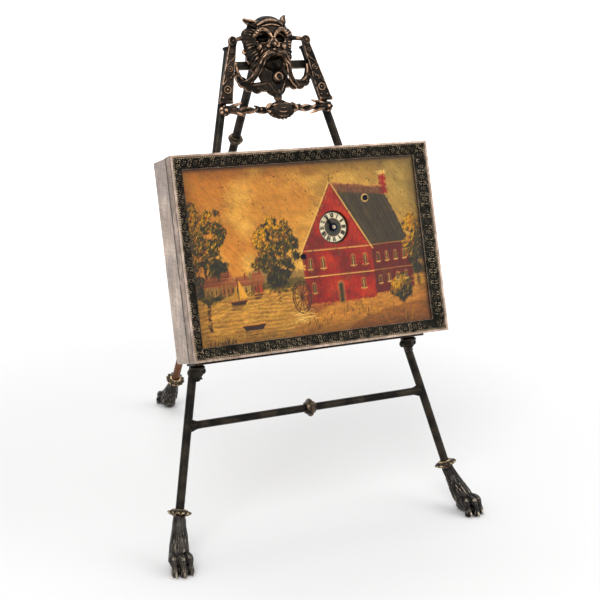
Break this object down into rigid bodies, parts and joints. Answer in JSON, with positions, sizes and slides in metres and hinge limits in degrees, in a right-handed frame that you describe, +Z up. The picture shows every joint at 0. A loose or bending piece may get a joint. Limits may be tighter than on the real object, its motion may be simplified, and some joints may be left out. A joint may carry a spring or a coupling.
{
  "type": "easel picture clock",
  "caption": "Small framed picture with a working clock dial in it, resting on a folding three-legged metal easel with paw feet and a grotesque mask crest.",
  "frame": {"origin": "on the surface that the easel stands on, under the middle of its bounding box", "axes": "+Z up, the picture faces -Y and leans back, +X to the viewer's right"},
  "size_m": [0.1874, 0.2618, 0.2712],
  "materials": {
    "dark_bronze": "dark brown-black patinated bronze, worn to copper on its edges",
    "worn_bronze": "bronze with gilt edges worn bright",
    "copper_bronze": "reddish brown bronze",
    "case_metal": "worn pinkish-grey brushed metal",
    "bezel_metal": "stamped moulding, dark in its hollows and bright on its crests",
    "picture": "oil paint in golden ochre and brick red",
    "dial_paint": "cream chapter ring on a dark green-grey centre",
    "blued_steel": "blued steel",
    "brass": "satin brass",
    "steel": "polished steel"
  },
  "bodies": {
    "easel_frame": {"left_front_leg": "dark_bronze", "right_front_leg": "dark_bronze", "stretcher_bar": "dark_bronze", "stretcher_knop": "worn_bronze", "left_leg_collar": "worn_bronze", "right_leg_collar": "worn_bronze", "left_paw_foot": "dark_bronze", "right_paw_foot": "dark_bronze", "ledge_bar": "dark_bronze", "left_ledge_bracket": "dark_bronze", "right_ledge_bracket": "dark_bronze", "crest_mask": "dark_bronze", "left_crest_panel": "dark_bronze", "right_crest_panel": "dark_bronze", "crest_vine_bar": "dark_bronze", "hinge_crossbar": "dark_bronze", "hinge_pin": "steel"},
    "rear_leg": {"rear_leg_rod": "copper_bronze", "rear_leg_knuckle": "dark_bronze", "rear_leg_knop": "worn_bronze", "rear_leg_collar": "worn_bronze", "rear_paw_foot": "dark_bronze"},
    "clock_case": {"case_body": "case_metal", "front_bezel": "bezel_metal", "picture_panel": "picture", "dial_plate": "dial_paint", "upper_movement_screw": "blued_steel", "lower_movement_screw": "blued_steel", "movement_front_plate": "brass", "movement_back_plate": "brass", "top_pillar": "brass", "left_pillar": "brass", "right_pillar": "brass", "cover_hinge_pin": "steel"},
    "rear_cover": {"rear_cover": "case_metal", "cover_knob": "brass"},
    "centre_arbor": {"centre_wheel": "brass", "cannon_pinion": "steel", "minute_hand": "blued_steel", "set_knob": "brass"},
    "hour_pipe": {"hour_wheel": "brass", "hour_hand": "blued_steel"},
    "minute_wheel": {"minute_wheel": "brass"},
    "barrel": {"barrel_drum": "brass", "barrel_cover": "brass", "mainspring": "blued_steel"},
    "winding_arbor": {"barrel_arbor": "steel", "ratchet_wheel": "steel", "winding_key": "brass"},
    "click": {"click": "steel"},
    "third_wheel": {"third_wheel": "brass"},
    "escape_wheel": {"escape_wheel": "brass"},
    "lever": {"lever": "steel"},
    "balance": {"balance_wheel": "brass", "hairspring": "blued_steel"}
  },
  "joints": [
    {"name": "rear_leg_fold", "type": "hinge", "parent": "easel_frame", "child": "rear_leg", "pos_m": [0, -0.02104, 0.24589], "axis": [1, 0, 0], "range_deg": [-44, 0]},
    {"name": "case_lift", "type": "slide", "parent": "easel_frame", "child": "clock_case", "axis": [0, -0.9571, 0.2897], "range_m": [0, 0.06]},
    {"name": "cover_swing", "type": "hinge", "parent": "clock_case", "child": "rear_cover", "pos_m": [-0.015, -0.08499, 0.09777], "axis": [0, 0.2897, 0.9571], "range_deg": [0, 100]},
    {"name": "centre_spin", "type": "hinge", "parent": "clock_case", "child": "centre_arbor", "pos_m": [0.0158, -0.06777, 0.15743], "axis": [0, -0.9571, 0.2897], "continuous": true},
    {"name": "hour_spin", "type": "hinge", "parent": "clock_case", "child": "hour_pipe", "pos_m": [0.0158, -0.06777, 0.15743], "axis": [0, -0.9571, 0.2897], "continuous": true},
    {"name": "minute_wheel_spin", "type": "hinge", "parent": "clock_case", "child": "minute_wheel", "pos_m": [0.0111, -0.06826, 0.1558], "axis": [0, -0.9571, 0.2897], "continuous": true},
    {"name": "barrel_spin", "type": "hinge", "parent": "clock_case", "child": "barrel", "pos_m": [0.00499, -0.06557, 0.16468], "axis": [0, -0.9571, 0.2897], "continuous": true},
    {"name": "third_wheel_spin", "type": "hinge", "parent": "clock_case", "child": "third_wheel", "pos_m": [0.02088, -0.07031, 0.14902], "axis": [0, -0.9571, 0.2897], "continuous": true},
    {"name": "escape_wheel_spin", "type": "hinge", "parent": "clock_case", "child": "escape_wheel", "pos_m": [0.02849, -0.06928, 0.15242], "axis": [0, -0.9571, 0.2897], "continuous": true},
    {"name": "key_wind", "type": "hinge", "parent": "clock_case", "child": "winding_arbor", "pos_m": [0.00499, -0.06557, 0.16468], "axis": [0, -0.9571, 0.2897], "continuous": true},
    {"name": "click_swing", "type": "hinge", "parent": "clock_case", "child": "click", "pos_m": [-0.00159, -0.06488, 0.16697], "axis": [0, -0.9571, 0.2897], "range_deg": [0, 12]},
    {"name": "lever_swing", "type": "hinge", "parent": "clock_case", "child": "lever", "pos_m": [0.02942, -0.06768, 0.1577], "axis": [0, -0.9571, 0.2897], "range_deg": [-4, 4]},
    {"name": "balance_swing", "type": "hinge", "parent": "clock_case", "child": "balance", "pos_m": [0.0308, -0.0653, 0.16557], "axis": [0, -0.9571, 0.2897], "range_deg": [-135, 135]}
  ],
  "couplings": [
    {"joint": "barrel_spin", "follows": "centre_spin", "ratio": -0.17857},
    {"joint": "third_wheel_spin", "follows": "centre_spin", "ratio": -6.25},
    {"joint": "escape_wheel_spin", "follows": "centre_spin", "ratio": 37.5},
    {"joint": "minute_wheel_spin", "follows": "centre_spin", "ratio": -0.33333},
    {"joint": "hour_spin", "follows": "centre_spin", "ratio": 0.083333}
  ]
}
